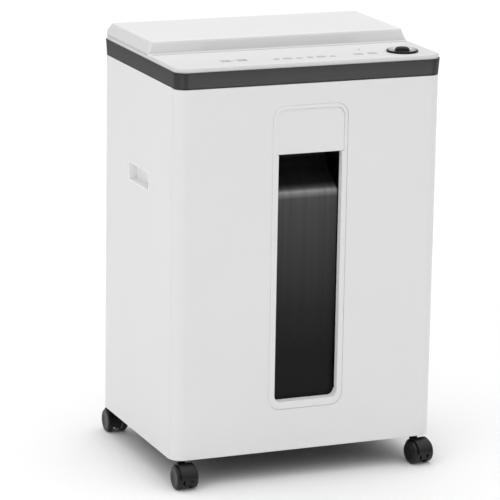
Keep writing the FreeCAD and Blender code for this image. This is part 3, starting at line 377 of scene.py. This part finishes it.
def circuit():
    """Green board with lines of a lighter green round darker cells."""
    graph = Graph("circuit")
    cells = graph.add("ShaderNodeTexVoronoi", feature="DISTANCE_TO_EDGE")
    cells.inputs["Scale"].default_value = 160
    graph.link(graph.place, cells.inputs["Vector"])
    edge = cells.outputs["Distance"]
    graph.paint(graph.ramp(edge, [(0.02, (0.03, 0.16, 0.07)), (0.08, (0.015, 0.09, 0.04))]))
    graph.gloss(graph.noise(scale=60), rough=0.375, spread=0.075)
    graph.bump(edge, 0.2)
    return graph.material


# ---------------------------------------------------------------- materials

WHITE = (0.80, 0.80, 0.80)
print_grey = moulded("print_grey", (0.34, 0.34, 0.34), rough=0.5, vary=0.04)

by_slot = {
    "white_plastic": moulded("white_plastic", WHITE, rough=0.42, vary=0.008),
    "dark_band": brushed(
        "dark_band",
        (0.066, 0.066, 0.067),
        rough=0.55,
        scale=(14, 14, 900),
        metal=0.0,
        vary=0.16,
        shine=0.15,
        # The band gets painted shade and painted highlight streaks.
        tone=band_painted_shade,
    ),
    "black_plastic": moulded(
        "black_plastic",
        (0.005, 0.005, 0.0052),
        rough=0.3,
        grain=1200,
        depth=0.02,
        vary=0.1,
        shine=0.12,
    ),
    "silver_trim": brushed(
        "silver_trim",
        (0.76, 0.76, 0.76),
        rough=0.24,
        scale=(60, 60, 60),
        vary=0.05,
        depth=0.03,
    ),
    "smoked_plastic": smoked(),
    "bin_plastic": moulded("bin_plastic", (0.030, 0.030, 0.032), rough=0.5, vary=0.08),
    "grey_plastic": moulded("grey_plastic", (0.12, 0.12, 0.125), rough=0.5, vary=0.06),
    "steel": brushed("steel", (0.52, 0.53, 0.55), rough=0.3, scale=(30, 700, 700)),
    "zinc_steel": brushed("zinc_steel", (0.60, 0.61, 0.60), rough=0.35, scale=(300, 20, 300)),
    "laminations": brushed("laminations", (0.22, 0.23, 0.25), rough=0.45, scale=(1800, 6, 6), vary=0.3),
    "copper": brushed("copper", (0.55, 0.24, 0.10), rough=0.32, scale=(900, 60, 60), vary=0.25),
    "bronze": brushed("bronze", (0.50, 0.33, 0.14), rough=0.4, scale=(80, 80, 80)),
    "circuit_board": circuit(),
    "castor_plastic": moulded(
        "castor_plastic",
        (0.010, 0.010, 0.0105),
        rough=0.34,
        grain=1500,
        depth=0.08,
        vary=0.1,
        shine=0.3,
    ),
}

# The grip cups are painted lighter than the white plastic, as painted light in the recess, and their ledges
# get painted shade.
cup_painted_light = moulded("cup_painted_light_plastic", (0.93, 0.93, 0.93), rough=0.5, vary=0.006, tone=cup_painted_shade)
own_finish = {
    # The button's crown gets a painted highlight.
    "power_button": moulded(
        "button_plastic",
        (0.008, 0.008, 0.0082),
        rough=0.3,
        depth=0.02,
        vary=0.1,
        shine=0.1,
        tone=button_painted_highlight,
    ),
    "grip_cup_left": cup_painted_light,
    "grip_cup_right": cup_painted_light,
    # The top cover gets painted shade on its slopes.
    "top_cover": moulded("cover_plastic", WHITE, rough=0.42, vary=0.008, tone=cover_painted_shade),
    # The window frame gets painted light on its reveals.
    "window_frame": moulded("frame_plastic", WHITE, rough=0.42, vary=0.008, tone=frame_painted_light),
}

for entry in frame["record"]["subparts"]:
    name = entry["node"]
    finish = own_finish.get(name, by_slot[entry["material_slot"]])
    nodes[name].data.materials.clear()
    nodes[name].data.materials.append(finish)


# ---------------------------------------------------------------- printed marks on the strip

INK = 0.00012
LINE = 0.0016
RING_STEPS = 28

LEFT_SHEETS = (-0.111, -0.087)
LEFT_ROW = -0.108
STRIP_PITCH = 0.0032

MIDDLE_START = -0.039
MIDDLE_PITCH = 0.0165
MIDDLE_COUNT = 6
MIDDLE_ROW = -0.114
STROKE_OFFSET = 0.0022
STROKE_TURN = 0.9

RIGHT_CARDS = (0.084, 0.105)
RIGHT_ROW = -0.111
LAMP_PLACE = (0.099, -0.078)


def mark_bar(shape, x, y, wide, deep, turn=0.0):
    """A flat bar of ink."""
    made = bmesh.ops.create_cube(shape, size=1.0)["verts"]
    place = Matrix.Translation((x, y, STRIP_LEVEL + INK / 2))
    spin = Matrix.Rotation(turn, 4, "Z")
    size = Matrix.Diagonal((wide, deep, INK, 1.0))
    bmesh.ops.transform(shape, matrix=place @ spin @ size, verts=made)


def mark_ring(shape, x, y, outer, inner):
    """A flat ring of ink."""
    rims = []
    for level in (STRIP_LEVEL, STRIP_LEVEL + INK):
        for radius in (outer, inner):
            rim = []
            for step in range(RING_STEPS):
                angle = 2 * math.pi * step / RING_STEPS
                spot = (x + radius * math.cos(angle), y + radius * math.sin(angle), level)
                rim.append(shape.verts.new(spot))
            rims.append(rim)
    low_out, low_in, high_out, high_in = rims
    for step in range(RING_STEPS):
        after = (step + 1) % RING_STEPS
        shape.faces.new((high_out[step], high_out[after], high_in[after], high_in[step]))
        shape.faces.new((low_out[after], low_out[step], low_in[step], low_in[after]))
        shape.faces.new((low_out[step], low_out[after], high_out[after], high_out[step]))
        shape.faces.new((low_in[after], low_in[step], high_in[step], high_in[after]))


def mark_frame(shape, x, y, wide, deep):
    """The outline of a sheet or a card."""
    mark_bar(shape, x, y + deep / 2, wide + LINE, LINE)
    mark_bar(shape, x, y - deep / 2, wide + LINE, LINE)
    mark_bar(shape, x - wide / 2, y, LINE, deep - LINE)
    mark_bar(shape, x + wide / 2, y, LINE, deep - LINE)


def mark_sheet(shape, x, y):
    """A sheet cut into strips."""
    mark_frame(shape, x, y, wide=0.0115, deep=0.0105)
    for step in (-1, 0, 1):
        mark_bar(shape, x + STRIP_PITCH * step, y, LINE, 0.0075)


def mark_disc(shape, x, y):
    """A disc with a hole."""
    mark_ring(shape, x, y, outer=0.0045, inner=0.0030)
    mark_ring(shape, x, y, outer=0.0015, inner=0.0005)


def mark_card(shape, x, y, wide, deep):
    """A card with one line on it."""
    mark_frame(shape, x, y, wide, deep)
    mark_bar(shape, x, y, 0.0065, LINE)


def mark_strokes(shape, x, y):
    """Two slanted strokes over a level one."""
    mark_bar(shape, x - STROKE_OFFSET, y, 0.0055, LINE, STROKE_TURN)
    mark_bar(shape, x + STROKE_OFFSET, y, 0.0055, LINE, -STROKE_TURN)
    mark_bar(shape, x, y - 0.0035, 0.009, LINE)


def make_marks():
    """Two sheets with a dash between them, a row of small signs, two cards, and a lamp behind them."""
    mesh = bpy.data.meshes.new("strip_marks")
    shape = bmesh.new()
    for x in LEFT_SHEETS:
        mark_sheet(shape, x, LEFT_ROW)
    mark_bar(shape, sum(LEFT_SHEETS) / 2, LEFT_ROW, 0.006, LINE)
    for step in range(MIDDLE_COUNT):
        x = MIDDLE_START + MIDDLE_PITCH * step
        if step % 3 == 0:
            mark_disc(shape, x, MIDDLE_ROW)
        elif step % 3 == 1:
            mark_card(shape, x, MIDDLE_ROW, wide=0.0105, deep=0.0075)
        else:
            mark_strokes(shape, x, MIDDLE_ROW)
    for x in RIGHT_CARDS:
        mark_card(shape, x, RIGHT_ROW, wide=0.0110, deep=0.0085)
    mark_ring(shape, *LAMP_PLACE, outer=0.0022, inner=0.0006)
    bmesh.ops.recalc_face_normals(shape, faces=shape.faces[:])
    shape.to_mesh(mesh)
    shape.free()
    marks = bpy.data.objects.new("strip_marks", mesh)
    bpy.context.scene.collection.objects.link(marks)
    mesh.materials.append(print_grey)
    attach(marks, "cabinet")


make_marks()
